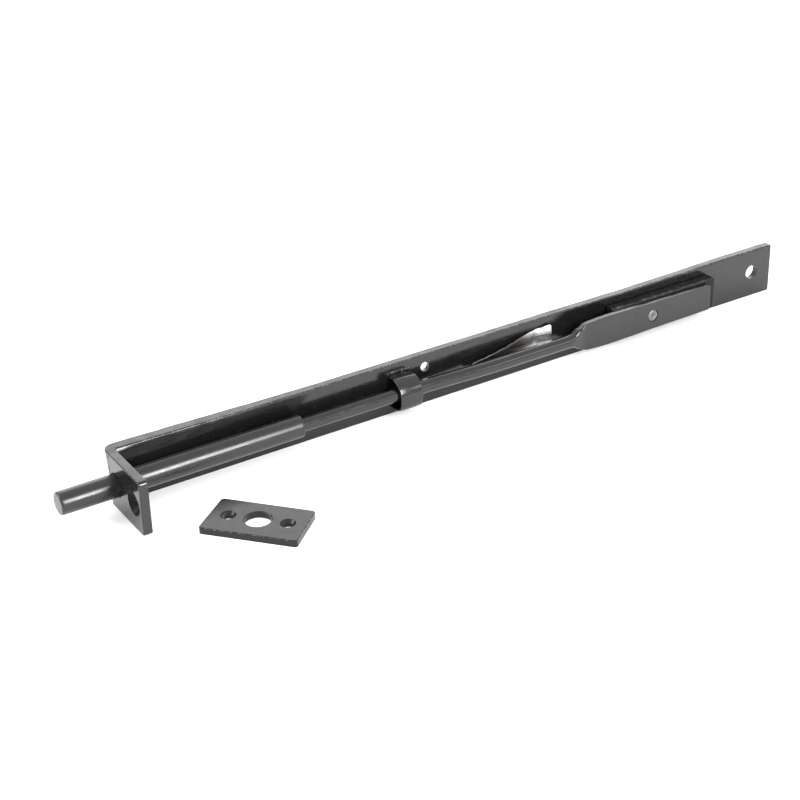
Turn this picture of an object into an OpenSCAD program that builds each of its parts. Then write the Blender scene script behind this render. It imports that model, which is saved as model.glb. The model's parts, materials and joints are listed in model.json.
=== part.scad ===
// Toggle bolt latch: a long flat face plate with a bent foot, a sliding bolt that a
// toggle draws through the foot, and a loose keep plate that receives the bolt.
// The origin is on the bolt's axis at the foot's outer face. +X runs from the foot
// along the bolt, +Y points through the face plate to its outer side, +Z is up.
// The latch stands on its long edge with the bolt thrown.

/* [Face plate] */
// Length of the face plate
plate_l = 368; // [366:0.5:380]
// Width of the face plate and of its foot
plate_w = 25; // [24:0.5:30]
// Thickness of the bar that the plate and foot are bent from
plate_t = 4.2; // [3.8:0.1:4.6]
// Depth of the foot, from the plate's outer face to the foot's edge
foot_d = 34.5; // [34:0.5:38]
// Distance of the bolt's axis from the plate's inner face
axis_gap = 5.5; // [5.4:0.1:5.7]

/* [Screw holes] */
// Distance of the middle screw hole from the foot's outer face
mid_hole_x = 157; // [155:0.5:165]
// Height of the middle screw hole above the bolt's axis
mid_hole_z = 6; // [5.5:0.25:7]
// Diameter of the middle screw hole
mid_hole_d = 4.4; // [3.5:0.1:5]
// Distance of the end screw hole from the far end of the plate
end_hole_inset = 12.5; // [10:0.1:12.6]
// Height of the end screw hole above the bolt's axis
end_hole_z = 0.7; // [0:0.1:1]
// Diameter of the end screw hole
end_hole_d = 7.1; // [5:0.1:8]
// Diameter of the foot's screw hole
foot_hole_d = 5; // [3.5:0.1:5]
// Outer diameter of the foot hole's countersink
foot_sink_d = 11.4; // [9:0.1:11.6]
// Distance of the foot's screw hole from the bolt's axis
foot_hole_gap = 17.4; // [16:0.1:18]

/* [Bolt] */
// Diameter of the bolt shank
bolt_d = 10.5; // [10:0.1:10.6]
// Length of the bolt in front of the foot when it is thrown
bolt_throw = 26; // [15:0.5:26]
// Length of the thick shank behind the foot's outer face
shank_l = 88; // [80:0.5:95]
// Diameter of the thin draw bar
bar_d = 6.4; // [6:0.1:6.5]
// Diametral clearance of the bolt in the foot
bolt_clear = 0.16; // [0.1:0.02:0.2]

/* [Tail] */
// Width of the flattened blade at the draw bar's tail
blade_w = 14; // [12:0.5:14]
// Thickness of the blade
blade_t = 3; // [2.5:0.1:3]
// Far end of the blade, from the foot's outer face
blade_end = 320; // [318:0.5:322]
// Height of the slider block
block_w = 16; // [15:0.5:17]
// Length of the slider block
block_l = 64; // [60:1:66]
// Place of the toggle's rivet, from the foot's outer face
rivet_x = 283.5; // [280:0.5:286]
// Diameter of the toggle's rivet
rivet_d = 5.8; // [5:0.1:6]

/* [Toggle] */
// Length of the toggle's thumb bar
thumb_l = 27; // [20:1:30]
// Height of the thumb bar
thumb_w = 9; // [8.4:0.1:10]
// Thickness of the thumb bar
thumb_t = 6.5; // [5:0.5:7]

/* [Guide strap] */
// Near edge of the guide strap, from the foot's outer face
strap_x = 137.2; // [130:0.2:140]
// Length of the strap along the bolt
strap_l = 11.6; // [10:0.2:12]
// Outer radius of the strap's round front
strap_r = 7.9; // [7.8:0.1:8.4]
// Thickness of the strap
strap_t = 1.3; // [1.1:0.1:1.4]

/* [Keep plate] */
// Length of the keep plate
keep_l = 42.4; // [40:0.1:50]
// Width of the keep plate
keep_w = 24; // [20:0.5:25]
// Thickness of the keep plate
keep_t = 3.2; // [2.5:0.1:4]
// Diameter of the hole that receives the bolt
keep_hole_d = 11.5; // [11.2:0.1:12.5]
// Distance between the keep's two screw holes
keep_pitch = 26.2; // [25:0.1:28]

/* [Hidden] */
$fn = 64;
eps = 0.01;

black = [0.09, 0.09, 0.1];
steel = [0.72, 0.7, 0.68];
plate_in = axis_gap;
plate_out = plate_in + plate_t;
foot_edge = plate_out - foot_d;
bend_r = 3.6;
foot_corner_r = 1.6;
plate_corner_r = 0.9;

mid_sink_d = mid_hole_d + 4;
end_hole_x = plate_l - end_hole_inset;
end_sink_d = end_hole_d + 2.4;

bolt_r = bolt_d / 2;
bolt_nose_r = bolt_r - 0.2;
nose_gap = 0.4;
tip_chamfer = 0.8;
step_chamfer = 1;
socket_depth = 12;

// The draw bar leaves the shank on the bolt's axis and leans forward, so that its
// blade can lie on the front of the slider block
bar_lean_y = -2.5;
bar_lean = atan2(bar_lean_y, 234 - shank_l);
blade_front = -4;
blade_back = blade_front + blade_t;
flare_start = 234;
flare_x = 246;
flare_w = blade_w + 0.4;
belly_x = 258;
belly_w = blade_w + 1.2;
blade_corner_r = 1.4;

plate_run_gap = 0.15;
block_back = plate_in - plate_run_gap;
block_x = blade_end + 5 - block_l;
slot_w = 6.9;
stem_w = slot_w - 0.5;
stem_l = 9;
slot_end_gap = 0.4;
thumb_gap = 0.5;
thumb_back = plate_out + thumb_gap;
thumb_front = thumb_back + thumb_t;
rivet_neck_d = 3.8;

strap_reach = 3.5;
strap_axis = plate_in - strap_reach;
strap_z = -0.6;
tenon_l = strap_l - 4;
tenon_clear = 0.05;

spring_t = 0.7;
spring_root = 1;
spring_start = 180;
spring_flat = 190;
spring_seat_l = 23;
spring_touch = 219;
spring_end = 227;
spring_lip_y = 2.2;
spring_rivet_x = 185.5;
spring_rivet_d = 2.6;
spring_rivet_y = -1.6;

keep_pos = [42.8, -43.6];
keep_turn = -48.9;
keep_screw_d = 4.2;
keep_sink_d = 6.8;

// A cylinder along +X from x = 0
module rod_x(d, l) {
    rotate([0, 90, 0]) cylinder(d = d, h = l);
}

// A cylinder along +Y from y = 0
module rod_y(d, l) {
    rotate([-90, 0, 0]) cylinder(d = d, h = l);
}

// A cone along +Y from y = 0
module cone_y(d1, d2, l) {
    rotate([-90, 0, 0]) cylinder(d1 = d1, d2 = d2, h = l);
}

// A flat outline of length l and width w with corners of radius r
module round_rect(l, w, r) {
    for (x = [r, l - r], y = [r - w / 2, w / 2 - r])
        translate([x, y]) circle(r = r);
    translate([r, -w / 2]) square([l - 2 * r, w]);
    translate([0, r - w / 2]) square([l, w - 2 * r]);
}

// A plate from y0 to y1 whose outline is round_rect in X and Z
module slab_y(l, w, r, y0, y1) {
    translate([0, y1, 0]) rotate([90, 0, 0])
        linear_extrude(y1 - y0) round_rect(l, w, r);
}

// The long bar and its bent foot, before any hole is cut
module bent_bar() {
    translate([bend_r, 0, 0])
        slab_y(plate_l - bend_r, plate_w, plate_corner_r, plate_in, plate_out);
    translate([bend_r, plate_in, -plate_w / 2])
        cube([2 * bend_r, plate_t, plate_w]);
    intersection() {
        translate([bend_r, plate_out - bend_r, -plate_w / 2])
            cylinder(r = bend_r, h = plate_w);
        translate([0, plate_out - bend_r, -plate_w / 2])
            cube([bend_r, bend_r, plate_w]);
    }
    foot_flat = plate_out - bend_r - foot_edge;
    translate([0, plate_out - bend_r, 0]) rotate([0, 0, -90])
        slab_y(foot_flat, plate_w, foot_corner_r, 0, plate_t);
    translate([0, plate_out - bend_r - 2 * bend_r, -plate_w / 2])
        cube([plate_t, 2 * bend_r, plate_w]);
}

module face_plate() {
    slot_x = rivet_x - stem_l / 2 - slot_end_gap;
    slot_l = stem_l + bolt_throw + 2 * slot_end_gap;
    foot_sink = (foot_sink_d - foot_hole_d) / 2;
    mid_sink = (mid_sink_d - mid_hole_d) / 2;
    end_sink = (end_sink_d - end_hole_d) / 2;
    color(black) difference() {
        bent_bar();
        translate([-1, 0, 0]) rod_x(bolt_d + bolt_clear, plate_t + 2);
        translate([-1, -foot_hole_gap, 0]) rod_x(foot_hole_d, plate_t + 2);
        translate([-eps, -foot_hole_gap, 0]) rotate([0, 90, 0])
            cylinder(d1 = foot_sink_d, d2 = foot_hole_d, h = foot_sink);
        translate([mid_hole_x, plate_in - 1, mid_hole_z]) rod_y(mid_hole_d, plate_t + 2);
        translate([mid_hole_x, plate_out - mid_sink, mid_hole_z])
            cone_y(mid_hole_d, mid_sink_d + 2 * eps, mid_sink + eps);
        translate([end_hole_x, plate_in - 1, end_hole_z]) rod_y(end_hole_d, plate_t + 2);
        translate([end_hole_x, plate_out - end_sink, end_hole_z])
            cone_y(end_hole_d, end_sink_d + 2 * eps, end_sink + eps);
        translate([slot_x, 0, 0])
            slab_y(slot_l, slot_w, slot_w / 2 - eps, plate_in - 1, plate_out + 1);
        for (side = [-1, 1]) strap_tenon(side, tenon_clear, 1);
    }
}

// One of the strap's two tenons, which pass through the plate; grow widens it all
// round and over lengthens it past both faces, to cut its slot
module strap_tenon(side, grow, over) {
    mid_z = strap_z + side * (strap_r - strap_t / 2);
    translate([strap_x + (strap_l - tenon_l) / 2 - grow, plate_in - over,
               mid_z - strap_t / 2 - grow])
        cube([tenon_l + 2 * grow, plate_t + 2 * over, strap_t + 2 * grow]);
}

module guide_strap() {
    color(black) {
        translate([strap_x, 0, strap_z]) difference() {
            union() {
                translate([0, strap_axis, 0]) rod_x(2 * strap_r, strap_l);
                translate([0, strap_axis, -strap_r])
                    cube([strap_l, strap_reach, 2 * strap_r]);
            }
            translate([-1, strap_axis, 0]) rod_x(2 * (strap_r - strap_t), strap_l + 2);
            translate([-1, strap_axis, strap_t - strap_r])
                cube([strap_l + 2, strap_r + 1, 2 * (strap_r - strap_t)]);
            translate([-1, plate_in, -strap_r - 1])
                cube([strap_l + 2, strap_r, 2 * strap_r + 2]);
        }
        for (side = [-1, 1]) strap_tenon(side, 0, 0);
    }
}

module bolt_shank() {
    color(black) difference() {
        union() {
            translate([-bolt_throw, 0, 0]) rotate([0, 90, 0])
                cylinder(r1 = bolt_nose_r - tip_chamfer, r2 = bolt_nose_r, h = tip_chamfer);
            translate([tip_chamfer - bolt_throw, 0, 0])
                rod_x(2 * bolt_nose_r, bolt_throw - tip_chamfer);
            translate([-nose_gap, 0, 0]) rod_x(bolt_d, shank_l + nose_gap - step_chamfer);
            translate([shank_l - step_chamfer, 0, 0]) rotate([0, 90, 0])
                cylinder(r1 = bolt_r, r2 = bolt_r - step_chamfer, h = step_chamfer);
        }
        on_bar_axis() translate([-socket_depth, 0, 0]) rod_x(bar_d, socket_depth + 1);
    }
}

// Moves its children to the draw bar's leaning axis, at the end of the shank
module on_bar_axis() {
    translate([shank_l, 0, 0]) rotate([0, 0, bar_lean]) children();
}

// The blade's outline above the bolt's axis, from the flare to its rounded corner
upper_edge = [
    [flare_x, flare_w / 2], [belly_x, belly_w / 2], [rivet_x, blade_w / 2],
    for (a = [90 : -15 : 0]) [
        blade_end + blade_corner_r * (cos(a) - 1),
        blade_w / 2 - 0.3 + blade_corner_r * (sin(a) - 1)]];

module blade() {
    last = len(upper_edge) - 1;
    lower_edge = [for (i = [last : -1 : 0]) [upper_edge[i].x, -upper_edge[i].y]];
    translate([0, blade_back, 0]) rotate([90, 0, 0])
        linear_extrude(blade_t) polygon(concat(upper_edge, lower_edge));
}

module draw_bar() {
    bar_run = (flare_start - shank_l) / cos(bar_lean);
    root_d = bar_d - 0.1;
    color(black) difference() {
        union() {
            on_bar_axis() translate([-socket_depth, 0, 0])
                rod_x(bar_d, socket_depth + bar_run + 0.6);
            blade();
            hull() {
                on_bar_axis() translate([bar_run, 0, 0])
                    rotate([0, 90, 0]) cylinder(d = root_d, h = 0.5, $fn = 32);
                translate([flare_x, blade_front, -flare_w / 2])
                    cube([0.5, blade_t, flare_w]);
            }
        }
        translate([rivet_x, blade_front - 1, 0]) rod_y(rivet_d, blade_t + 2);
        translate([spring_start - 1, spring_root, -bar_d])
            cube([spring_seat_l, bar_d, 2 * bar_d]);
        translate([spring_rivet_x, spring_rivet_y, 0])
            rod_y(spring_rivet_d, bar_d);
    }
}

// The spring's front surface as [x, y]: flat on the bar, out to the plate, and back
// in a curled lip
spring_line = [
    [spring_start, spring_root], [spring_flat, spring_root],
    for (i = [1 : 8]) [
        spring_flat + (spring_touch - spring_flat) * i / 8,
        spring_root + (block_back - spring_t - spring_root) * (1 - cos(i * 22.5)) / 2],
    for (i = [1 : 4]) [
        spring_touch + (spring_end - spring_touch) * i / 4,
        block_back - spring_t - (block_back - spring_t - spring_lip_y) * pow(i / 4, 2)]];

// Half the spring's height at x: a narrow root that widens to the free end
function spring_half(x) =
    x < spring_flat ? 2.2 + 0.6 * (x - spring_start) / (spring_flat - spring_start)
    : 2.8 + 5 * (1 - cos(min(1, (x - spring_flat) / (spring_touch - spring_flat)) * 180)) / 2;

module leaf_spring() {
    last = len(spring_line) - 1;
    bow = [for (p = spring_line) p,
           for (i = [last : -1 : 0]) spring_line[i] + [0, spring_t]];
    leaf = [for (p = spring_line) [p.x, -spring_half(p.x)],
            for (i = [last : -1 : 0])
                [spring_line[i].x, spring_half(spring_line[i].x)]];
    color(steel) difference() {
        intersection() {
            translate([0, 0, -plate_w / 2]) linear_extrude(plate_w) polygon(bow);
            translate([0, plate_in, 0]) rotate([90, 0, 0])
                linear_extrude(2 * plate_in) polygon(leaf);
        }
        translate([spring_rivet_x, 0, 0]) rod_y(spring_rivet_d, plate_in);
    }
}

module spring_rivet() {
    head_y = spring_root + spring_t;
    color(steel) translate([spring_rivet_x, 0, 0]) {
        translate([0, spring_rivet_y, 0]) rod_y(spring_rivet_d, head_y - spring_rivet_y);
        translate([0, head_y, 0]) cone_y(spring_rivet_d + 1.6, spring_rivet_d, 0.9);
    }
}

module slider_block() {
    color(black) difference() {
        translate([block_x, 0, 0])
            slab_y(block_l, block_w, 0.6, blade_back, block_back);
        translate([rivet_x, blade_back - 1, 0])
            rod_y(rivet_d, block_back - blade_back + 2);
    }
}

module toggle() {
    crown = 1.6;
    color(black) difference() {
        union() {
            translate([rivet_x - stem_l / 2, 0, 0])
                slab_y(stem_l, stem_w, stem_w / 2 - eps, block_back, thumb_back);
            translate([rivet_x - thumb_l / 2, 0, 0])
                slab_y(thumb_l, thumb_w, thumb_w / 2 - eps, thumb_back,
                       thumb_front - crown);
            hull() {
                for (x = [-1, 1] * (thumb_l - thumb_w) / 2)
                    translate([rivet_x + x, thumb_front - crown, 0])
                        rotate([-90, 0, 0])
                            cylinder(d1 = thumb_w, d2 = thumb_w - 2 * crown,
                                     h = crown, $fn = 32);
            }
        }
        translate([rivet_x, block_back - 1, 0])
            rod_y(rivet_neck_d, thumb_front - block_back + 2);
    }
}

module toggle_rivet() {
    color(steel) translate([rivet_x, 0, 0]) {
        translate([0, blade_front, 0]) rod_y(rivet_d, block_back - blade_front);
        translate([0, block_back, 0]) rod_y(rivet_neck_d, thumb_front - block_back);
    }
}

module keep_plate() {
    sink = (keep_sink_d - keep_screw_d) / 2;
    color(black) translate([keep_pos.x, keep_pos.y, -plate_w / 2])
        rotate([0, 0, keep_turn]) difference() {
            translate([-keep_l / 2, 0, 0])
                linear_extrude(keep_t) round_rect(keep_l, keep_w, 1);
            translate([0, 0, -1]) cylinder(d = keep_hole_d, h = keep_t + 2);
            for (x = [-1, 1] * keep_pitch / 2) translate([x, 0, 0]) {
                translate([0, 0, -1]) cylinder(d = keep_screw_d, h = keep_t + 2);
                translate([0, 0, keep_t - sink])
                    cylinder(d1 = keep_screw_d, d2 = keep_sink_d + 2 * eps, h = sink + eps);
            }
        }
}

face_plate();
guide_strap();
bolt_shank();
draw_bar();
leaf_spring();
spring_rivet();
slider_block();
toggle();
toggle_rivet();
keep_plate();
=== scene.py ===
"""Looks of the toggle bolt latch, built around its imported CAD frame.

Shapes are written in millimetres in the CAD frame: the origin is on the bolt's axis at the
foot's outer face, +X runs along the bolt, +Y through the face plate, +Z is up.
"""
import json
import math

import bmesh
import bpy
from mathutils import Matrix, Vector, noise


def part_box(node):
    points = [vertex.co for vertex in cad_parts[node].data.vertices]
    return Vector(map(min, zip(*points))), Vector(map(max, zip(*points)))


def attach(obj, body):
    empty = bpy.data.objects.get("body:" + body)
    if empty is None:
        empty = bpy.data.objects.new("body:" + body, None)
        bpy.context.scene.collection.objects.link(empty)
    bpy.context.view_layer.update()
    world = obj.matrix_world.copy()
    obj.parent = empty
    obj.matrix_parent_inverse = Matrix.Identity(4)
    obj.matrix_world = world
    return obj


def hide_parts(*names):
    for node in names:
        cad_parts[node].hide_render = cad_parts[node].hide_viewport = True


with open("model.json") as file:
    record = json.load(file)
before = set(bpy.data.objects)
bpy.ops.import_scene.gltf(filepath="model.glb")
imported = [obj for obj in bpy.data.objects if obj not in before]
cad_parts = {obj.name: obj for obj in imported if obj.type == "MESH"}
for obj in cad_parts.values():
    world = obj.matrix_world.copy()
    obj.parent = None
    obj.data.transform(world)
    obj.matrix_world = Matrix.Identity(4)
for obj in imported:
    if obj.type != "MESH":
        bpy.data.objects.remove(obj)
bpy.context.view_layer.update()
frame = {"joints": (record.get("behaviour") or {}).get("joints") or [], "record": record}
MM = 0.001
# How far a cutter goes past the faces that it cuts
OVER = 1.0

# ---------------------------------------------------------------- sizes from the frame


def node_box(name):
    """The lowest and highest corner of a CAD node, in millimetres."""
    low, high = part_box(name)
    return low / MM, high / MM


MOUNTS = {m["name"]: m for m in frame["record"]["mounts"]}


def mount_at(name):
    """A mount's place, in millimetres."""
    return Vector(MOUNTS[name]["pos_m"]) / MM


def mount_r(name):
    """A round mount's radius, in millimetres."""
    return MOUNTS[name]["dims"]["r_mm"]


PLATE_LOW, PLATE_HIGH = node_box("face_plate")
STRAP_LOW, STRAP_HIGH = node_box("guide_strap")
SHANK_LOW, SHANK_HIGH = node_box("bolt_shank")
_, BAR_HIGH = node_box("draw_bar")
BLOCK_LOW, BLOCK_HIGH = node_box("slider_block")
TOGGLE_LOW, TOGGLE_HIGH = node_box("toggle")
RIVET_LOW, RIVET_HIGH = node_box("toggle_rivet")
SPRING_LOW, SPRING_HIGH = node_box("leaf_spring")
KEEP_LOW, KEEP_HIGH = node_box("keep_plate")

FLOOR_Z = PLATE_LOW.z
PLATE_END = PLATE_HIGH.x
PLATE_OUT = PLATE_HIGH.y
PLATE_T = 4.2
PLATE_IN = PLATE_OUT - PLATE_T
PLATE_W = PLATE_HIGH.z - PLATE_LOW.z
FOOT_EDGE = PLATE_LOW.y
SHANK_R = SHANK_HIGH.z
BORE_R = SHANK_R + 0.08
BAR_R = 3.2
BLADE_HALF_T = 1.5
BLADE_FRONT = RIVET_LOW.y
BLADE_END = BAR_HIGH.x
RIVET_X = (RIVET_LOW.x + RIVET_HIGH.x) / 2
RIVET_R = RIVET_HIGH.z
RIVET_NECK_R = 1.9
RIVET_GAP = 0.02
STEM_HALF_L = 4.5
STEM_HALF_W = 3.2
SLOT_HALF_W = 3.45
SLOT_GAP = 0.4
TRAVEL = frame["joints"][0]["range_m"][1] / MM
STRAP_R = (STRAP_HIGH.z - STRAP_LOW.z) / 2
STRAP_T = 1.3
STRAP_AXIS = Vector((0, STRAP_LOW.y + STRAP_R, (STRAP_HIGH.z + STRAP_LOW.z) / 2))
# The strap's outer radius by the angle above its axis: it was closed round the bar by hand
STRAP_SHAPE = ((-90, 7.9), (-42, 8.7), (-8, 7.9), (20, 7.7), (48, 7.7), (90, 7.9))
STRAP_MID_X = (STRAP_LOW.x + STRAP_HIGH.x) / 2
STRAP_HALF_L = (STRAP_HIGH.x - STRAP_LOW.x) / 2
TENON_HALF = STRAP_HALF_L - 2

# ---------------------------------------------------------------- mesh helpers


def smooth_step(a, b, x):
    """0 below a, 1 above b, and a smooth rise between them."""
    t = min(1.0, max(0.0, (x - a) / (b - a)))
    return t * t * (3 - 2 * t)


def window(a, b, soft, x):
    """1 between a and b with soft flanks, and 0 outside."""
    return smooth_step(a - soft, a, x) * (1 - smooth_step(b, b + soft, x))


def along(keys, x):
    """The value at x of a smooth curve through the (x, value) keys."""
    if x <= keys[0][0]:
        return keys[0][1]
    for (x0, v0), (x1, v1) in zip(keys, keys[1:]):
        if x <= x1:
            return v0 + (v1 - v0) * smooth_step(x0, x1, x)
    return keys[-1][1]


def spread(a, b, steps):
    """Evenly spaced values from a to b, both included."""
    return [a + (b - a) * i / steps for i in range(steps + 1)]


def inset(radius, s):
    """How far a round corner of that radius steps back at distance s from its end."""
    if s >= radius:
        return 0.0
    return radius - math.sqrt(radius ** 2 - (radius - s) ** 2)


def end_steps(radius, steps=8):
    """Distances from an end that follow a round corner evenly."""
    return [radius * (1 - math.cos(math.radians(a))) for a in spread(0, 90, steps)]


def wave(x, y, z, scale, seed=0.0):
    """Smooth noise from -1 to 1 whose features are about scale millimetres across."""
    return noise.noise(Vector((x / scale + seed, y / scale, z / scale)))


def round_ring(half_u, half_v, corner, arc=5, flat_u=1, flat_v=1):
    """A rounded rectangle as (u, v) points, anticlockwise from the right side."""
    points = []
    corners = ((1, 1, 0), (-1, 1, 90), (-1, -1, 180), (1, -1, 270))
    for side, (su, sv, start) in enumerate(corners):
        cu, cv = su * (half_u - corner), sv * (half_v - corner)
        for angle in spread(start, start + 90, arc):
            a = math.radians(angle)
            points.append((cu + corner * math.cos(a), cv + corner * math.sin(a)))
        flats = flat_u if side % 2 == 0 else flat_v
        nu, nv, _ = corners[(side + 1) % 4]
        nu, nv = nu * (half_u - corner), nv * (half_v - corner)
        end = math.radians(start + 90)
        eu, ev = corner * math.cos(end), corner * math.sin(end)
        for i in range(1, flats):
            t = i / flats
            points.append((cu + (nu - cu) * t + eu, cv + (nv - cv) * t + ev))
    return points


def stadium(half_x, half_z, arc=10):
    """A long hole's outline."""
    return round_ring(half_x, half_z, half_z * 0.995, arc)


def ring_edges(arc=5, flat_u=1, flat_v=1):
    """For each point of such a ring, 1 in the middle of a corner and 0 on the flats."""
    weights = []
    for side in range(4):
        weights += [math.sin(math.pi * i / arc) for i in range(arc + 1)]
        weights += [0.0] * ((flat_u if side % 2 == 0 else flat_v) - 1)
    return weights


def loft(rings, edges=None):
    """A mesh through closed rings of equal length, with both ends capped. edges are the
    ring's corner weights, kept on the points for the paint's worn edges."""
    mesh = bmesh.new()
    layer = mesh.verts.layers.float.new("edge")
    rows = [[mesh.verts.new(Vector(p) * MM) for p in ring] for ring in rings]
    count = len(rings[0])
    if edges:
        for row in rows:
            for vert, weight in zip(row, edges):
                vert[layer] = weight
    for low, high in zip(rows, rows[1:]):
        for i in range(count):
            j = (i + 1) % count
            mesh.faces.new((low[i], low[j], high[j], high[i]))
    mesh.faces.new(list(reversed(rows[0])))
    mesh.faces.new(rows[-1])
    bmesh.ops.recalc_face_normals(mesh, faces=mesh.faces)
    return mesh


def lathe(profile, segments=64, to_world=None):
    """A solid of revolution about X through (x, radius) points; radius 0 closes it."""
    mesh = bmesh.new()
    rows = []
    for x, r in profile:
        if r < 1e-6:
            rows.append([mesh.verts.new(Vector((x, 0, 0)) * MM)])
            continue
        turn = [2 * math.pi * i / segments for i in range(segments)]
        rows.append([mesh.verts.new(Vector((x, r * math.cos(a), r * math.sin(a))) * MM)
                     for a in turn])
    for low, high in zip(rows, rows[1:]):
        for i in range(segments):
            j = (i + 1) % segments
            a, b = low[i % len(low)], low[j % len(low)]
            c, d = high[j % len(high)], high[i % len(high)]
            corners = [v for k, v in enumerate((a, b, c, d)) if v not in (a, b, c, d)[:k]]
            if len(corners) > 2:
                mesh.faces.new(corners)
    bmesh.ops.recalc_face_normals(mesh, faces=mesh.faces)
    if to_world is not None:
        bmesh.ops.transform(mesh, matrix=to_world, verts=mesh.verts)
    return mesh


def turned(profile, axis, place, segments=64):
    """A lathe whose X axis points along axis and whose origin is at place (mm)."""
    turn = Vector((1, 0, 0)).rotation_difference(Vector(axis)).to_matrix().to_4x4()
    shift = Matrix.Translation(Vector(place) * MM)
    return lathe(profile, segments, shift @ turn)


def add_object(name, mesh, materials):
    """Turns a bmesh into a linked object with its materials."""
    data = bpy.data.meshes.new(name)
    mesh.to_mesh(data)
    mesh.free()
    for material in materials:
        data.materials.append(material)
    piece = bpy.data.objects.new(name, data)
    bpy.context.scene.collection.objects.link(piece)
    return piece


def merge(meshes):
    """Joins several bmeshes into the first."""
    first = meshes[0]
    for other in meshes[1:]:
        data = bpy.data.meshes.new("part")
        other.to_mesh(data)
        other.free()
        first.from_mesh(data)
        bpy.data.meshes.remove(data)
    return first


def cut(piece, cutters):
    """Cuts closed bmeshes, clear of each other, out of a piece and keeps only the result."""
    tool = add_object("cutter", merge(cutters), [])
    modifier = piece.modifiers.new("cut", "BOOLEAN")
    modifier.operation = "DIFFERENCE"
    modifier.solver = "EXACT"
    modifier.object = tool
    bake(piece)
    data = tool.data
    bpy.data.objects.remove(tool)
    bpy.data.meshes.remove(data)


def bake(piece):
    """Applies every modifier of a piece to its mesh."""
    graph = bpy.context.evaluated_depsgraph_get()
    old = piece.data
    fresh = bpy.data.meshes.new_from_object(piece.evaluated_get(graph))
    piece.modifiers.clear()
    piece.data = fresh
    fresh.name = piece.name
    bpy.data.meshes.remove(old)


def shade(piece, angle=32):
    """Smooth shading with edges sharper than angle kept crisp."""
    data = piece.data
    data.polygons.foreach_set("use_smooth", [True] * len(data.polygons))
    data.set_sharp_from_angle(angle=math.radians(angle))
    normals = piece.modifiers.new("normals", "WEIGHTED_NORMAL")
    normals.keep_sharp = True
    normals.weight = 100
    bake(piece)


def hole_cutter(place, axis, radius, length, sink_r=0.0, rim=0.22):
    """A drill from place along axis: the far mouth has a soft rim, and the near mouth is
    countersunk to sink_r, or softened alike."""
    mouth = max(radius + rim, sink_r)
    profile = [(-OVER, 0), (-OVER, mouth + OVER), (mouth - radius, radius),
               (length - rim, radius), (length + OVER, radius + rim + OVER),
               (length + OVER, 0)]
    return turned(profile, axis, place, 72)


# ---------------------------------------------------------------- material helpers


def new_material(name):
    """A node material, its tree and its shader."""
    material = bpy.data.materials.new(name)
    material.use_nodes = True
    tree = material.node_tree
    return material, tree, tree.nodes["Principled BSDF"]


def add_node(tree, kind, settings=None, sockets=None):
    """A node with its properties and its input sockets set; a socket may be a link."""
    made = tree.nodes.new(kind)
    for key, value in (settings or {}).items():
        setattr(made, key, value)
    for key, value in (sockets or {}).items():
        if isinstance(value, bpy.types.NodeSocket):
            tree.links.new(value, made.inputs[key])
        else:
            made.inputs[key].default_value = value
    return made


def grain(tree, size, seed=0.0, detail=3.0, stretch=(1, 1, 1), roughness=0.55):
    """Noise from 0 to 1 with features of size millimetres, longer where stretch is over 1."""
    place = add_node(tree, "ShaderNodeTexCoord").outputs["Object"]
    scale = [1 / (size * MM * s) for s in stretch]
    moved = add_node(tree, "ShaderNodeMapping", None,
                     {"Vector": place, "Scale": scale, "Location": (seed, seed / 3, -seed)})
    noisy = add_node(tree, "ShaderNodeTexNoise", None,
                     {"Vector": moved.outputs[0], "Scale": 1.0, "Detail": detail,
                      "Roughness": roughness})
    return noisy.outputs["Fac"]


def pits(tree, size, seed=0.0):
    """Distance to scattered points about size millimetres apart."""
    place = add_node(tree, "ShaderNodeTexCoord").outputs["Object"]
    moved = add_node(tree, "ShaderNodeMapping", None,
                     {"Vector": place, "Scale": [1 / (size * MM)] * 3,
                      "Location": (seed, -seed, seed / 2)})
    cells = add_node(tree, "ShaderNodeTexVoronoi", None,
                     {"Vector": moved.outputs[0], "Scale": 1.0})
    return cells.outputs["Distance"]


def remap(tree, value, low, high, to_low=0.0, to_high=1.0):
    """Value moved from low..high to to_low..to_high, and kept inside it."""
    done = add_node(tree, "ShaderNodeMapRange", {"clamp": True},
                    {"Value": value, "From Min": low, "From Max": high,
                     "To Min": to_low, "To Max": to_high})
    return done.outputs["Result"]


def calc(tree, operation, a, b):
    """Plain arithmetic on two values or links."""
    done = add_node(tree, "ShaderNodeMath", {"operation": operation}, {0: a, 1: b})
    return done.outputs[0]


def rgba(color):
    """A grey value or an RGB triple as RGBA; a link stays a link."""
    if isinstance(color, bpy.types.NodeSocket):
        return color
    if isinstance(color, (int, float)):
        color = (color, color, color)
    return (*color, 1.0)


def blend_colors(tree, factor, a, b):
    """Colour a where factor is 0 and b where it is 1."""
    done = add_node(tree, "ShaderNodeMix", {"data_type": "RGBA"},
                    {"Factor": factor, 6: rgba(a), 7: rgba(b)})
    return done.outputs[2]


def bump(tree, height, depth, under=None):
    """A surface raised by depth millimetres where height is 1, over another bump."""
    sockets = {"Height": height, "Strength": 1.0, "Distance": depth * MM}
    if under is not None:
        sockets["Normal"] = under
    return add_node(tree, "ShaderNodeBump", None, sockets).outputs["Normal"]


def worn_edges(tree, patches):
    """1 along the middle of rounded edges where patches is high, and 0 elsewhere."""
    edge = add_node(tree, "ShaderNodeAttribute", {"attribute_name": "edge"}).outputs["Fac"]
    return calc(tree, "MULTIPLY", remap(tree, edge, 0.45, 0.95), remap(tree, patches, 0.5, 0.62))


# ---------------------------------------------------------------- materials


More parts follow.
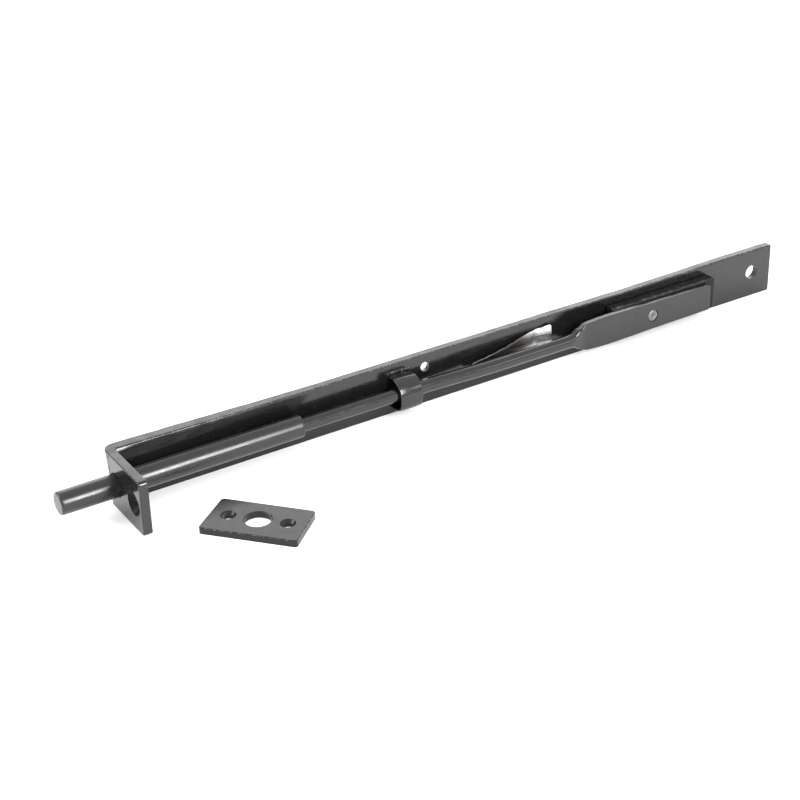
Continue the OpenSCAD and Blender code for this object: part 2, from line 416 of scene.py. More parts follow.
def black_paint(name, seed, tone=0.004, rough=0.13, peel=0.006, undulation=0.02,
                streaks=0.0, casting=0.0, wear=0.5, gloss=0.5):
    """Glossy black paint on steel: soft orange peel over a slightly uneven bar, dusty
    specks, rubbed patches, thin wear where a mesh is marked "edge", and less gloss where
    it is marked "matt"."""
    material, tree, shader = new_material(name)
    broad = grain(tree, 22, seed, 2)
    cloudy = grain(tree, 6, seed + 3, 4)
    fine = grain(tree, 0.9, seed + 5, 3)
    specks = remap(tree, grain(tree, 0.55, seed + 9, 1), 0.7, 0.76)
    scuffs = remap(tree, grain(tree, 2.5, seed + 11, 5, (4, 1, 1)), 0.66, 0.74)
    color = blend_colors(tree, broad, tone, [tone * c for c in (2.1, 2.1, 2.3)])
    color = blend_colors(tree, calc(tree, "MULTIPLY", specks, 0.5 * wear), color, 0.07)
    color = blend_colors(tree, calc(tree, "MULTIPLY", scuffs, 0.35 * wear), color, 0.03)
    edges = worn_edges(tree, grain(tree, 1.4, seed + 15, 5))
    color = blend_colors(tree, calc(tree, "MULTIPLY", edges, wear), color, (0.11, 0.105, 0.1))
    tree.links.new(color, shader.inputs["Base Color"])
    shine = remap(tree, cloudy, 0.3, 0.75, rough - 0.05, rough + 0.09)
    shine = calc(tree, "ADD", shine, calc(tree, "MULTIPLY", scuffs, 0.12 * wear))
    tree.links.new(shine, shader.inputs["Roughness"])
    normal = bump(tree, broad, undulation)
    normal = bump(tree, fine, peel, normal)
    if streaks:
        lines = grain(tree, 0.5, seed + 13, 2, (60, 1, 1))
        normal = bump(tree, lines, streaks, normal)
    if casting:
        lumps = grain(tree, 1.6, seed + 17, 6, roughness=0.7)
        normal = bump(tree, lumps, casting, normal)
        holes = remap(tree, pits(tree, 1.8, seed), 0.05, 0.3)
        normal = bump(tree, holes, casting * 0.4, normal)
    tree.links.new(normal, shader.inputs["Normal"])
    matt = add_node(tree, "ShaderNodeAttribute", {"attribute_name": "matt"}).outputs["Fac"]
    matt = remap(tree, calc(tree, "ADD", matt, calc(tree, "MULTIPLY", cloudy, 0.9)), 0.6, 1.1)
    tree.links.new(remap(tree, matt, 0, 1, gloss, 0.25 * gloss),
                   shader.inputs["Specular IOR Level"])
    return material


def bare_steel(name, seed, color=0.62, dark=0.32, rough=0.3, lines=(1, 1, 1), flecks=0.5,
               tint=None):
    """Unpainted steel with fine lines, stains and dark flecks. tint is a colour that
    fades out between two places along X, given in millimetres."""
    material, tree, shader = new_material(name)
    stain = grain(tree, 2.4, seed, 5)
    scratch = grain(tree, 0.25, seed + 4, 2, lines)
    spots = remap(tree, grain(tree, 0.5, seed + 8, 3), 0.6, 0.68)
    tone = blend_colors(tree, remap(tree, stain, 0.35, 0.7), color, dark)
    if tint is not None:
        shade_color, start, stop = tint
        place = add_node(tree, "ShaderNodeTexCoord").outputs["Object"]
        across = add_node(tree, "ShaderNodeSeparateXYZ", None, {0: place}).outputs["X"]
        edge = calc(tree, "ADD", across, calc(tree, "MULTIPLY", stain, 6 * MM))
        fade = remap(tree, edge, start * MM, stop * MM, 1.0, 0.0)
        tone = blend_colors(tree, fade, tone, shade_color)
    tone = blend_colors(tree, calc(tree, "MULTIPLY", spots, flecks), tone, 0.05)
    tree.links.new(tone, shader.inputs["Base Color"])
    tree.links.new(remap(tree, scratch, 0.3, 0.7, rough - 0.08, rough + 0.12),
                   shader.inputs["Roughness"])
    shader.inputs["Metallic"].default_value = 1.0
    normal = bump(tree, scratch, 0.004)
    normal = bump(tree, stain, 0.02, normal)
    tree.links.new(normal, shader.inputs["Normal"])
    return material


PLATE_PAINT = black_paint("plate_paint", 1.0, peel=0.018, undulation=0.09, streaks=0.006,
                          wear=0.8)
# The countersink's paint: darker and less glossy than the plate's, as painted shade inside the
# hole
HOLE_SHADE_PAINT = black_paint("hole_paint", 7.0, tone=0.001, rough=0.4, peel=0.03, wear=1.0,
                         gloss=0.12)
STRAP_PAINT = black_paint("strap_paint", 12.0, rough=0.17, peel=0.014)
BOLT_PAINT = black_paint("bolt_paint", 23.0, rough=0.24, undulation=0.01, streaks=0.012)
BAR_PAINT = black_paint("bar_paint", 34.0, rough=0.12, undulation=0.02, streaks=0.012)
BLOCK_PAINT = black_paint("block_paint", 45.0, rough=0.09, casting=0.04, wear=0.2,
                          gloss=0.14)
TOGGLE_PAINT = black_paint("toggle_paint", 56.0, rough=0.14)
KEEP_PAINT = black_paint("keep_paint", 67.0, rough=0.2, peel=0.012, undulation=0.02,
                         wear=0.8, gloss=0.3)
TIP_PAINT = black_paint("tip_paint", 78.0, tone=0.038, rough=0.4, wear=2.0)
SPRING_STEEL = bare_steel("spring_steel", 5.0, 0.75, 0.35, 0.3, (30, 30, 1), 0.5,
                          ((0.15, 0.13, 0.12), 212, 222))
RIVET_STEEL = bare_steel("rivet_steel", 15.0, 0.22, 0.06, 0.4, (1, 1, 1), 0.8)

# ---------------------------------------------------------------- face plate

EDGE_R = 0.5
FOOT_CORNER_R = 1.6
END_CORNER_R = 0.9
BEND_INNER_R = 0.5
BEND_OUTER_R = BEND_INNER_R + PLATE_T
STATION_STEP = 2.0
# Steps round the bar's section: on each corner, across its edges and across its faces
PLATE_RING = (5, 3, 20)
FOOT_SINK_R = 5.7
MID_SINK_R = mount_r("mid_screw_hole") + 2
END_SINK_R = mount_r("end_screw_hole") + 1.2
TENON_GAP = 0.06


def bar_stations():
    """Stations along the bent bar: centre, inner normal, and distance from its nearer end
    with that end's corner radius."""
    half = PLATE_T / 2
    bend_y = PLATE_OUT - BEND_OUTER_R
    foot_run = bend_y - FOOT_EDGE
    stations = []
    for s in end_steps(FOOT_CORNER_R) + spread(FOOT_CORNER_R, foot_run, 14)[1:]:
        stations.append((Vector((half, FOOT_EDGE + s, 0)), Vector((1, 0, 0)), s, FOOT_CORNER_R))
    middle_r = BEND_OUTER_R - half
    for angle in spread(0, 90, 12)[1:]:
        turn = math.radians(angle)
        away = Vector((-math.cos(turn), math.sin(turn), 0))
        centre = Vector((BEND_OUTER_R, bend_y, 0)) + away * middle_r
        stations.append((centre, -away, foot_run, FOOT_CORNER_R))
    straight = PLATE_END - END_CORNER_R - BEND_OUTER_R
    steps = round(straight / STATION_STEP)
    for x in spread(BEND_OUTER_R, PLATE_END - END_CORNER_R, steps)[1:-1]:
        stations.append((Vector((x, PLATE_OUT - half, 0)), Vector((0, -1, 0)),
                         PLATE_END - x, END_CORNER_R))
    for s in reversed(end_steps(END_CORNER_R)):
        stations.append((Vector((PLATE_END - s, PLATE_OUT - half, 0)), Vector((0, -1, 0)),
                         s, END_CORNER_R))
    return stations


# How far the top edge leans back near the bend, along X: on the outer and the inner face
LEAN_OUTER = ((4, 3.0), (30, 2.2), (53, 1.4), (77, 0.6), (110, 0.0))
LEAN_INNER = ((4, 2.0), (18, 1.4), (34, 0.8), (56, 0.0))
# How far the top edge rises and falls along X
TOP_LINE = ((0, 0.3), (60, 0.2), (110, 0.0), (230, -0.15), (270, -0.42), (302, -0.05),
            (335, 0.45), (362, 0.45))


def uneven_bar(point, normal, across, height):
    """Moves a point of the bar by its unevenness: the top leans back where the foot was
    bent, the faces were straightened by hammer, and the top edge isn't quite straight.
    across is -1 on the outer face and 1 on the inner one, height -1 at the bottom and 1 at
    the top."""
    x, y, z = point
    up = (height + 1) / 2
    outer = along(LEAN_OUTER, x) * (0.14 + 0.86 * up ** 3)
    inner = along(LEAN_INNER, x) * (0.05 + 0.95 * up ** 9)
    reach = min(1.0, max(0.0, (y - FOOT_EDGE) / (PLATE_IN - FOOT_EDGE)))
    back = reach * (outer * (1 - across) + inner * (1 + across)) / 2
    face = 0.04 * wave(x, y, z, 30, 2) + 0.07 * window(70, 150, 25, x) * wave(x, y, z, 11, 6)
    rise = along(TOP_LINE, x) * up ** 2
    ripple = 0.09 + 0.18 * window(252, 326, 12, x)
    rise += ripple * wave(x, y, 0, 16, 4) * max(0.0, height) ** 4
    rise += 0.06 * wave(x, y, 0, 4, 9) * max(0.0, height) ** 4
    return point + normal * face + Vector((0, back, rise))


def strap_leg_z(side):
    """The height of a strap leg's middle; side is 1 for the upper and -1 for the lower."""
    return STRAP_AXIS.z + side * (along(STRAP_SHAPE, 90 * side) - STRAP_T / 2)


def slot_cutter(centre_x, half_x, half_z, rim=0.3):
    """A long hole through the plate, with soft rims on both faces."""
    rings = []
    for y, grow in ((PLATE_IN - OVER, rim + OVER), (PLATE_IN + rim, 0),
                    (PLATE_OUT - rim, 0), (PLATE_OUT + OVER, rim + OVER)):
        rings.append([(centre_x + u, y, v) for u, v in stadium(half_x + grow, half_z + grow)])
    return loft(rings)


def plate_body():
    """The uneven bent bar, before any hole is cut."""
    rings = []
    for centre, inner, s, corner_r in bar_stations():
        half_t = PLATE_T / 2 - inset(EDGE_R, s)
        half_w = PLATE_W / 2 - inset(corner_r, s)
        ring = []
        for u, v in round_ring(half_t, half_w, EDGE_R * 0.98, *PLATE_RING):
            point = centre + inner * u + Vector((0, 0, v))
            ring.append(uneven_bar(point, inner, u / (PLATE_T / 2), v / (PLATE_W / 2)))
        rings.append(ring)
    return loft(rings, ring_edges(*PLATE_RING))


def plate_cutters():
    """The cutters of the plate's bolt hole, screw holes, toggle slot and tenon slots."""
    foot_hole = mount_at("foot_screw_hole")
    mid_hole = mount_at("mid_screw_hole")
    end_hole = mount_at("end_screw_hole")
    slot_low = RIVET_X - STEM_HALF_L - SLOT_GAP
    slot_high = RIVET_X + STEM_HALF_L + SLOT_GAP + TRAVEL
    cutters = [
        hole_cutter((0, 0, 0), (1, 0, 0), BORE_R, PLATE_T, rim=0.35),
        hole_cutter((0, foot_hole.y, 0), (1, 0, 0), mount_r("foot_screw_hole"), PLATE_T,
                    FOOT_SINK_R),
        hole_cutter((mid_hole.x, PLATE_OUT, mid_hole.z), (0, -1, 0),
                    mount_r("mid_screw_hole"), PLATE_T, MID_SINK_R),
        hole_cutter((end_hole.x, PLATE_OUT, end_hole.z), (0, -1, 0),
                    mount_r("end_screw_hole"), PLATE_T, END_SINK_R),
        slot_cutter((slot_low + slot_high) / 2, (slot_high - slot_low) / 2, SLOT_HALF_W),
    ]
    for side in (-1, 1):
        mid_z = strap_leg_z(side)
        outline = [(STRAP_MID_X + u, v + mid_z)
                   for u, v in round_ring(TENON_HALF + TENON_GAP, STRAP_T / 2 + TENON_GAP,
                                          0.1, 2)]
        cutters.append(loft([[(x, y, z) for x, z in outline]
                             for y in (PLATE_IN - OVER, PLATE_OUT + OVER)]))
    return cutters


def mark_matt(piece):
    """Marks the plate's inner face near the bend, and less so the top edge, as matt."""
    matt = piece.data.attributes.new("matt", "FLOAT", "POINT")
    for vert, mark in zip(piece.data.vertices, matt.data):
        x, y, z = vert.co / MM
        inside = window(PLATE_IN - 0.3, PLATE_IN + 1, 0.3, y) * window(-1, 10.6, 1.2, z)
        near_bend = window(PLATE_T + 0.5, 78, 30, x)
        mark.value = inside * near_bend + 0.3 * smooth_step(12, 12.4, z)


def face_plate():
    """The long bar with its bent foot; the foot's countersink has a darker, duller paint that
    stands in for the shade inside the hole (painted shade).
    """
    piece = add_object("face_plate_body", plate_body(), [PLATE_PAINT, HOLE_SHADE_PAINT])
    cut(piece, plate_cutters())
    mark_matt(piece)
    sink_y = mount_at("foot_screw_hole").y
    skin = 0.02
    # Faces inside the foot's countersink get the darker paint, as painted shade
    for face in piece.data.polygons:
        x, y, z = face.center / MM
        if skin < x < PLATE_T and math.hypot(y - sink_y, z) < FOOT_SINK_R - skin:
            face.material_index = 1
    shade(piece)
    return piece


# ---------------------------------------------------------------- guide strap


def guide_strap():
    """The strap over the draw bar, with a tenon at each end that fills its slot in the
    plate, and a burr along its upper root."""
    shoulder = 0.25
    ends = ((PLATE_OUT - 0.05, TENON_HALF - 0.15), (PLATE_OUT - 0.2, TENON_HALF),
            (PLATE_IN + 0.1, TENON_HALF), (PLATE_IN - 0.02, TENON_HALF),
            (PLATE_IN - 0.02, STRAP_HALF_L - shoulder), (PLATE_IN - shoulder, STRAP_HALF_L))
    stations = [(Vector((0, y, strap_leg_z(-1))), Vector((0, 0, -1)), half) for y, half in ends]
    for angle in spread(-90, 90, 32):
        turn = math.radians(angle)
        away = Vector((0, -math.cos(turn), math.sin(turn)))
        mid_r = along(STRAP_SHAPE, angle) - STRAP_T / 2
        stations.append((STRAP_AXIS + away * mid_r, away, STRAP_HALF_L))
    stations += [(Vector((0, y, strap_leg_z(1))), Vector((0, 0, 1)), half)
                 for y, half in reversed(ends)]
    rings = []
    for centre, away, half in stations:
        ring = []
        for u, v in round_ring(STRAP_T / 2, half, 0.38, 4, 2, 8):
            crown = 0.25 * (v / STRAP_HALF_L) ** 2 if u > 0 else 0.0
            point = centre + away * (u - crown) + Vector((STRAP_MID_X + v, 0, 0))
            ring.append(point + away * 0.06 * wave(point.x, point.y, point.z, 3, 8))
        rings.append(ring)
    strap = loft(rings, ring_edges(4, 2, 8))
    # The burr is a bead that swells and thins by chance along the strap's root
    burr = []
    z = strap_leg_z(1) + STRAP_T / 2 + 0.75
    for x in spread(STRAP_MID_X - STRAP_HALF_L - 0.8, STRAP_MID_X + STRAP_HALF_L + 0.5, 60):
        fade = 0.25 + 0.75 * window(STRAP_LOW.x, STRAP_HIGH.x, 0.8, x)
        high = (0.9 + 0.5 * wave(x, 0, 0, 1.6, 3)) * fade
        deep = (0.42 + 0.3 * wave(x, 0, 0, 1.1, 5)) * fade
        burr.append([(x, PLATE_IN + 0.12 + u + 0.1 * wave(x, u, v, 0.7, 6), z + v)
                     for u, v in round_ring(deep, high, min(deep, high) * 0.98, 4)])
    piece = add_object("guide_strap_band", merge([strap, loft(burr)]), [STRAP_PAINT])
    shade(piece)
    return piece


# ---------------------------------------------------------------- bolt


def bolt_shank():
    """The thick round of the bolt, with a soft chamfer at its pale tip."""
    tip, end = SHANK_LOW.x, SHANK_HIGH.x
    nose_r = SHANK_R - 0.05
    soft = 0.9
    end_soft = 0.6
    profile = [(tip, 0), (tip, nose_r - soft)]
    for angle in spread(15, 90, 5):
        a = math.radians(angle)
        profile.append((tip + soft * (1 - math.cos(a)), nose_r - soft * (1 - math.sin(a))))
    for x in spread(tip + 2, -0.8, 11):
        profile.append((x, nose_r + 0.015 * wave(x, 0, 0, 6, 1)))
    for x in spread(0.2, end - 1.4, 32):
        profile.append((x, SHANK_R + 0.02 * wave(x, 0, 0, 9, 3) - 0.02))
    for angle in spread(15, 75, 4):
        a = math.radians(angle)
        profile.append((end - end_soft * (1 - math.sin(a)),
                        SHANK_R - end_soft * (1 - math.cos(a))))
    profile += [(end, SHANK_R - end_soft - 0.1), (end, 0)]
    mesh = lathe(profile, 96)
    for face in mesh.faces:
        if all(v.co.x < (tip + 0.02) * MM for v in face.verts):
            face.material_index = 1
    piece = add_object("bolt_shank_round", mesh, [BOLT_PAINT, TIP_PAINT])
    shade(piece)
    return piece


# The bar's middle in Y, and its half depth and half height, along X
BAR_LINE = ((88, 0.0), (150, -0.5), (192, -2.3), (232, -2.5))
BAR_DEPTH = ((232, BAR_R), (243, BLADE_HALF_T))
BAR_HEIGHT = ((232, BAR_R), (235, 3.5), (239, 5.3), (243, 6.9), (246, 7.2), (252, 7.5),
              (258, 7.6), (270, 7.4), (283, 7.05), (306, 6.85), (318, 6.7))
BLADE_CORNER_R = 1.5
BLADE_EDGE_R = 0.45


def dents(x, z):
    """Hammer marks in the blade's front, as a depth in millimetres."""
    mark = 0.22 * window(263, 270, 5, x) * window(-2, 4, 3, z)
    return mark * (0.6 + 0.4 * wave(x, 0, z, 3, 5)) + 0.05 * wave(x, 0, z, 8, 2)


def draw_bar():
    """The drawn round bar and its flattened tail, in one piece."""
    start = SHANK_HIGH.x - 6
    stations = spread(start, 228, 56) + spread(229, 262, 33) + spread(264, 318, 40)
    stations += [BLADE_END - s for s in reversed(end_steps(BLADE_CORNER_R, 6))]
    rings = []
    for x in stations:
        s = BLADE_END - x
        middle = along(BAR_LINE, x)
        half_d = along(BAR_DEPTH, x)
        half_h = along(BAR_HEIGHT, x) - inset(BLADE_CORNER_R, s)
        flat = (BAR_R - half_d) / (BAR_R - BLADE_HALF_T)
        corner = BAR_R - 0.05 + (BLADE_EDGE_R - BAR_R) * flat
        half_d -= inset(0.4, s)
        corner = min(corner, half_d * 0.97)
        ring = []
        for u, v in round_ring(half_d, half_h, corner, 7, 3, 12):
            press = flat * dents(x, v) if u < 0 else 0.0
            ring.append((x, middle + u + press, v + 0.03 * wave(x, u, v, 12, 7)))
        rings.append(ring)
    piece = add_object("draw_bar_forged", loft(rings), [BAR_PAINT])
    cut(piece, [hole_cutter((RIVET_X, BLADE_FRONT - 0.1, 0), (0, 1, 0), RIVET_R + 0.15,
                            2 * BLADE_HALF_T + 0.4, rim=0.15)])
    shade(piece)
    return piece


# ---------------------------------------------------------------- leaf spring

SPRING_T = 0.7
SPRING_ROOT_Y = SPRING_LOW.y
SPRING_FLAT_END = 190
SPRING_TOUCH_X = 219
SPRING_LIP_Y = 3.0
# Room between the leaf and the plate for the crease and the dished lip
SPRING_GAP = 0.85
# The leaf's lowest point, below the bolt's axis
SPRING_LOWEST = -6.2
# Half the leaf's height along X
SPRING_HALF = ((180, 2.5), (186, 3.2), (192, 4.1), (198, 4.9), (204, 5.6), (210, 6.6),
               (216, 7.4), (221, 7.8), (227, 8.4))


def spring_line(x):
    """The y of the spring's front face at x: flat, out towards the plate, and back in a
    lip."""
    high = PLATE_IN - SPRING_GAP - SPRING_T
    if x <= SPRING_TOUCH_X:
        rise = smooth_step(SPRING_FLAT_END, SPRING_TOUCH_X, x)
        return SPRING_ROOT_Y + (high - SPRING_ROOT_Y) * rise
    t = (x - SPRING_TOUCH_X) / (SPRING_HIGH.x - SPRING_TOUCH_X)
    return high - (high - SPRING_LIP_Y) * t ** 1.7


def leaf_spring():
    """The spring leaf, which widens to a dished lip with a crease where it turns back."""
    start, end = SPRING_LOW.x, SPRING_HIGH.x
    root_r = 1.2
    tip_r = 1.0
    stations = [start + s for s in end_steps(root_r, 5)]
    stations += spread(start + root_r, end - tip_r, 40)[1:]
    stations += [end - s for s in reversed(end_steps(tip_r, 7)[:-1])]
    rings = []
    for x in stations:
        slope = (spring_line(x + 0.05) - spring_line(x - 0.05)) / 0.1
        out = Vector((-slope, 1, 0)).normalized()
        half = along(SPRING_HALF, x) - inset(tip_r, end - x) - inset(root_r, x - start)
        middle = Vector((x, spring_line(x), 0)) + out * SPRING_T / 2
        cup = 0.4 * smooth_step(203, 217, x)
        crease = 0.35 * math.exp(-((x - SPRING_TOUCH_X) / 1.2) ** 2)
        ring = []
        for u, v in round_ring(SPRING_T / 2, half, 0.2, 3, 1, 12):
            curl = crease + cup * (v / half) ** 2 + 0.08 * wave(x, 0, v, 3, 4)
            ring.append(middle + out * (u + curl) + Vector((0, 0, max(v, SPRING_LOWEST))))
        rings.append(ring)
    piece = add_object("leaf_spring_blade", loft(rings), [SPRING_STEEL])
    shade(piece)
    return piece


def spring_rivet():
    """The small rivet in the spring's root, with a rounded head."""
    low, high = node_box("spring_rivet")
    r = 1.3
    soft = 0.1
    head_r = high.z
    head_t = 0.9
    dome = 0.75
    top = high.y - low.y
    profile = [(0, 0), (0, r - soft), (soft, r), (top - head_t, r),
               (top - head_t, head_r - soft), (top - dome, head_r)]
    for angle in spread(15, 90, 6):
        a = math.radians(angle)
        profile.append((top - dome + dome * math.sin(a), head_r * math.cos(a)))
    place = ((low.x + high.x) / 2, low.y, 0)
    piece = add_object("spring_rivet_head", turned(profile, (0, 1, 0), place, 40), [RIVET_STEEL])
    shade(piece, 40)
    return piece


# ---------------------------------------------------------------- block and toggle


def slider_block():
    """The cast block behind the blade, rough on its long top and bottom faces."""
    mid_y = (BLOCK_LOW.y + BLOCK_HIGH.y) / 2
    half_y = (BLOCK_HIGH.y - BLOCK_LOW.y) / 2
    half_z = BLOCK_HIGH.z
    edge = 0.7
    stations = [BLOCK_LOW.x + s for s in end_steps(edge, 5)]
    stations += spread(BLOCK_LOW.x + edge, BLOCK_HIGH.x - edge, 90)[1:-1]
    stations += [BLOCK_HIGH.x - s for s in reversed(end_steps(edge, 5))]
    rings = []
    for x in stations:
        back = inset(edge, min(x - BLOCK_LOW.x, BLOCK_HIGH.x - x))
        ring = []
        for u, v in round_ring(half_y - back, half_z - back, edge * 0.98, 4, 10, 22):
            rough = wave(x, u, v, 2.2, 3) + 0.6 * wave(x, u, v, 0.9, 9)
            on_top = smooth_step(0.8, 1.0, abs(v) / half_z)
            push = (0.2 * rough - 0.15 * abs(rough)) * on_top
            ring.append((x + 0.03 * rough, mid_y + u, v + math.copysign(push, v * push)))
        rings.append(ring)
    piece = add_object("slider_block_cast", loft(rings, ring_edges(4, 10, 22)),
                       [BLOCK_PAINT])
    cut(piece, [hole_cutter((RIVET_X, BLOCK_LOW.y, 0), (0, 1, 0), RIVET_R + RIVET_GAP,
                            2 * half_y)])
    shade(piece, 50)
    return piece


def toggle():
    """The thumb bar and its stem, as one casting with a crowned outer face."""
    half_l = (TOGGLE_HIGH.x - TOGGLE_LOW.x) / 2
    half_w = TOGGLE_HIGH.z
    stem_y = TOGGLE_LOW.y
    back_y = PLATE_OUT + 0.5
    front_y = TOGGLE_HIGH.y
    crown = 2.4
    soft = 0.5
    levels = [(stem_y, STEM_HALF_L, STEM_HALF_W), (back_y - 0.25, STEM_HALF_L, STEM_HALF_W),
              (back_y, STEM_HALF_L + 0.25, STEM_HALF_W + 0.25)]
    for angle in spread(0, 90, 5):
        a = math.radians(angle)
        step = soft * (1 - math.sin(a))
        levels.append((back_y + soft * (1 - math.cos(a)), half_l - step, half_w - step))
    for angle in spread(0, 78, 10):
        a = math.radians(angle)
        step = crown * (1 - math.cos(a))
        levels.append((front_y - crown + crown * math.sin(a), half_l - step, half_w - step))
    levels.append((front_y, half_l - crown - 0.3, half_w - crown - 0.3))
    rings = [[(RIVET_X + u, y, v) for u, v in stadium(along_x, across)]
             for y, along_x, across in levels]
    piece = add_object("toggle_thumb_bar", loft(rings), [TOGGLE_PAINT])
    cut(piece, [hole_cutter((RIVET_X, front_y, 0), (0, -1, 0), RIVET_NECK_R + RIVET_GAP,
                            front_y - stem_y, rim=0.25)])
    shade(piece)
    return piece


def toggle_rivet():
    """The rivet through blade, block and toggle, peened over at both ends."""
    length = RIVET_HIGH.y - RIVET_LOW.y
    neck_r = RIVET_NECK_R
    shoulder = BLOCK_HIGH.y - RIVET_LOW.y
    r = RIVET_R
    profile = [(0.16, 0), (0.12, 0.6), (0.06, 1.2), (0.02, 1.8), (0.06, 2.3), (0.18, r - 0.2),
               (0.36, r), (shoulder, r), (shoulder, neck_r), (length - 0.3, neck_r),
               (length - 0.12, neck_r - 0.12), (length - 0.03, neck_r - 0.6), (length, 0)]
    mesh = turned(profile, (0, 1, 0), (RIVET_X, RIVET_LOW.y, 0), 48)
    for vert in mesh.verts:
        x, y, z = vert.co / MM
        if y < RIVET_LOW.y + 0.3:
            vert.co.y += 0.13 * MM * wave(x, 0, z, 1.5, 4)
            vert.co.x += 0.1 * MM * wave(x, z, 0, 2, 7)
            vert.co.z += 0.1 * MM * wave(z, x, 0, 2, 9)
    piece = add_object("toggle_rivet_peened", mesh, [RIVET_STEEL])
    shade(piece, 40)
    return piece


# ---------------------------------------------------------------- keep plate

KEEP_TURN = math.radians(-48.9)
KEEP_HALF_L = 21.2
KEEP_HALF_W = 12.0
KEEP_CORNER_R = 1.4
KEEP_SINK_R = 3.4


def keep_plate():
    """The loose plate that receives the bolt, cut a little out of square at one end."""
    hole = mount_at("keep_bolt_hole")
    low, high = KEEP_LOW.z, KEEP_HIGH.z
    low_soft = 0.2
    soft = 0.45
    levels = [(low + s, inset(low_soft, s)) for s in end_steps(low_soft, 3)]
    levels += [(z, 0.0) for z in spread(low + low_soft, high - soft, 2)[1:-1]]
    levels += [(high - s, inset(soft, s)) for s in reversed(end_steps(soft, 5))]
    rings = []
    for z, back in levels:
        ring = []
        for u, v in round_ring(KEEP_HALF_L - back, KEEP_HALF_W - back, KEEP_CORNER_R, 5, 14, 8):
            worn = 0.05 * wave(u, v, 0, 7, 3)
            skew = 0.6 * max(0.0, -u / KEEP_HALF_L) * v / KEEP_HALF_W
            ring.append((u * (1 + worn / KEEP_HALF_L) + skew, v * (1 + worn / KEEP_HALF_W), z))
        rings.append(ring)
    place = Matrix.Translation(Vector((hole.x, hole.y, 0)) * MM)
    mesh = loft(rings)
    edge = mesh.verts.layers.float["edge"]
    for vert in mesh.verts:
        vert[edge] = window(high - 0.35, high - 0.1, 0.1, vert.co.z / MM)
    bmesh.ops.transform(mesh, matrix=place @ Matrix.Rotation(KEEP_TURN, 4, "Z"),
                        verts=mesh.verts)
    piece = add_object("keep_plate_body", mesh, [KEEP_PAINT])
    thick = high - low
    cutters = [hole_cutter((hole.x, hole.y, high), (0, 0, -1), mount_r("keep_bolt_hole"), thick,
                           rim=0.3)]
    pattern = MOUNTS["keep_screw_holes"]["dims"]
    reach = pattern["pcd_mm"] / 2
    for side in (-1, 1):
        x = hole.x + side * reach * math.cos(KEEP_TURN)
        y = hole.y + side * reach * math.sin(KEEP_TURN)
        cutters.append(hole_cutter((x, y, high), (0, 0, -1), pattern["hole_r_mm"], thick,
                                   KEEP_SINK_R))
    cut(piece, cutters)
    shade(piece)
    return piece


# ---------------------------------------------------------------- assembly

PIECES = (
    (face_plate, "frame", "face_plate", "black_plate"),
    (guide_strap, "frame", "guide_strap", "black_strap"),
    (keep_plate, "frame", "keep_plate", "black_keep"),
    (bolt_shank, "bolt", "bolt_shank", "black_bolt"),
    (draw_bar, "bolt", "draw_bar", "black_bar"),
    (leaf_spring, "bolt", "leaf_spring", "spring_steel"),
    (spring_rivet, "bolt", "spring_rivet", "rivet_steel"),
    (slider_block, "bolt", "slider_block", "black_block"),
    (toggle, "bolt", "toggle", "black_toggle"),
    (toggle_rivet, "bolt", "toggle_rivet", "rivet_steel"),
)
for make, body, node_name, slot_name in PIECES:
    piece = make()
    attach(piece, body)
    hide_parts(node_name)

# ---------------------------------------------------------------- floor, light and camera


def floor():
    """A plain white surface under the latch."""
    mesh = bmesh.new()
    bmesh.ops.create_grid(mesh, x_segments=1, y_segments=1, size=3.0)
    material, _, shader = new_material("floor_white")
    shader.inputs["Base Color"].default_value = (0.92, 0.92, 0.92, 1)
    shader.inputs["Roughness"].default_value = 0.9
    shader.inputs["Specular IOR Level"].default_value = 0.1
    shader.inputs["Emission Color"].default_value = (1, 1, 1, 1)
    shader.inputs["Emission Strength"].default_value = 0.18
    plane = add_object("floor", mesh, [material])
    plane.location.z = FLOOR_Z * MM


def softbox(name, towards, distance, width, height, radiance):
    """A rectangular light that faces the latch's middle from a direction."""
    data = bpy.data.lights.new(name, "AREA")
    data.shape = "RECTANGLE"
    data.size, data.size_y = width, height
    data.energy = radiance * math.pi * width * height
    lamp = bpy.data.objects.new(name, data)
    towards = Vector(towards).normalized()
    lamp.location = Vector((PLATE_END / 2, PLATE_IN, 0)) * MM + towards * distance
    lamp.rotation_euler = towards.to_track_quat("Z", "Y").to_euler()
    bpy.context.scene.collection.objects.link(lamp)


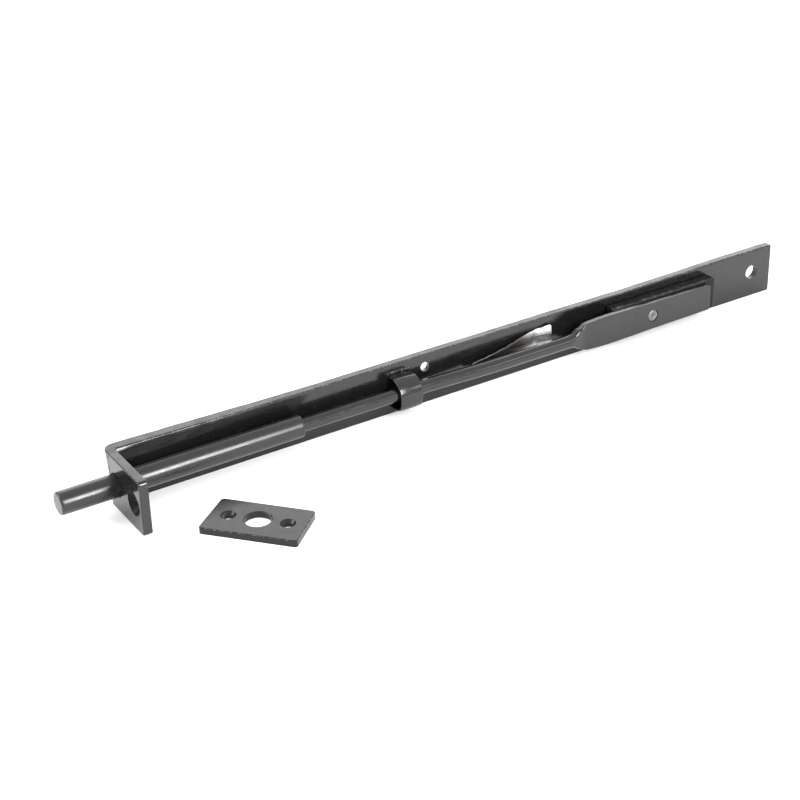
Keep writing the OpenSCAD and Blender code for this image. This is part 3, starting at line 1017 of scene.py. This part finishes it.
def studio():
    """Even white surroundings, with panels behind and at the left, a small bright key in
    front and a weaker fill at the front right."""
    world = bpy.data.worlds.new("studio")
    world.use_nodes = True
    world.node_tree.nodes["Background"].inputs["Color"].default_value = (1, 1, 1, 1)
    world.node_tree.nodes["Background"].inputs["Strength"].default_value = 1.45
    bpy.context.scene.world = world
    bpy.context.scene.view_settings.view_transform = "Standard"
    softbox("back_panel", (0.46, 0.75, 0.5), 1.0, 1.2, 0.8, 2.05)
    softbox("left_panel", (-0.75, 0.35, 0.56), 0.9, 0.5, 0.5, 5)
    softbox("key", (0.15, -0.875, 0.46), 0.97, 0.22, 0.42, 34)
    softbox("front_fill", (0.62, -0.7, 0.4), 1.1, 0.5, 0.25, 3.2)


CAMERA_TARGET = (143.03, PLATE_IN, -6.94)
CAMERA_DISTANCE = 807.5
CAMERA_LENS = 79.5
CAMERA_AZIMUTH = math.radians(31.484)
CAMERA_ELEVATION = math.radians(28.505)
CAMERA_ROLL = math.radians(-1.766)


def camera():
    """The camera, which looks at the latch from its foot's side and above."""
    ahead = Vector((math.sin(CAMERA_AZIMUTH) * math.cos(CAMERA_ELEVATION),
                    math.cos(CAMERA_AZIMUTH) * math.cos(CAMERA_ELEVATION),
                    -math.sin(CAMERA_ELEVATION)))
    right = Vector((math.cos(CAMERA_AZIMUTH), -math.sin(CAMERA_AZIMUTH), 0))
    up = right.cross(ahead)
    side = right * math.cos(CAMERA_ROLL) + up * math.sin(CAMERA_ROLL)
    top = up * math.cos(CAMERA_ROLL) - right * math.sin(CAMERA_ROLL)
    data = bpy.data.cameras.new("camera")
    data.lens = CAMERA_LENS
    data.sensor_width = 36
    data.clip_start = 0.01
    eye = bpy.data.objects.new("camera", data)
    turn = Matrix((side, top, -ahead)).transposed().to_4x4()
    place = (Vector(CAMERA_TARGET) - ahead * CAMERA_DISTANCE) * MM
    eye.matrix_world = Matrix.Translation(place) @ turn
    bpy.context.scene.collection.objects.link(eye)
    bpy.context.scene.camera = eye


floor()
studio()
camera()
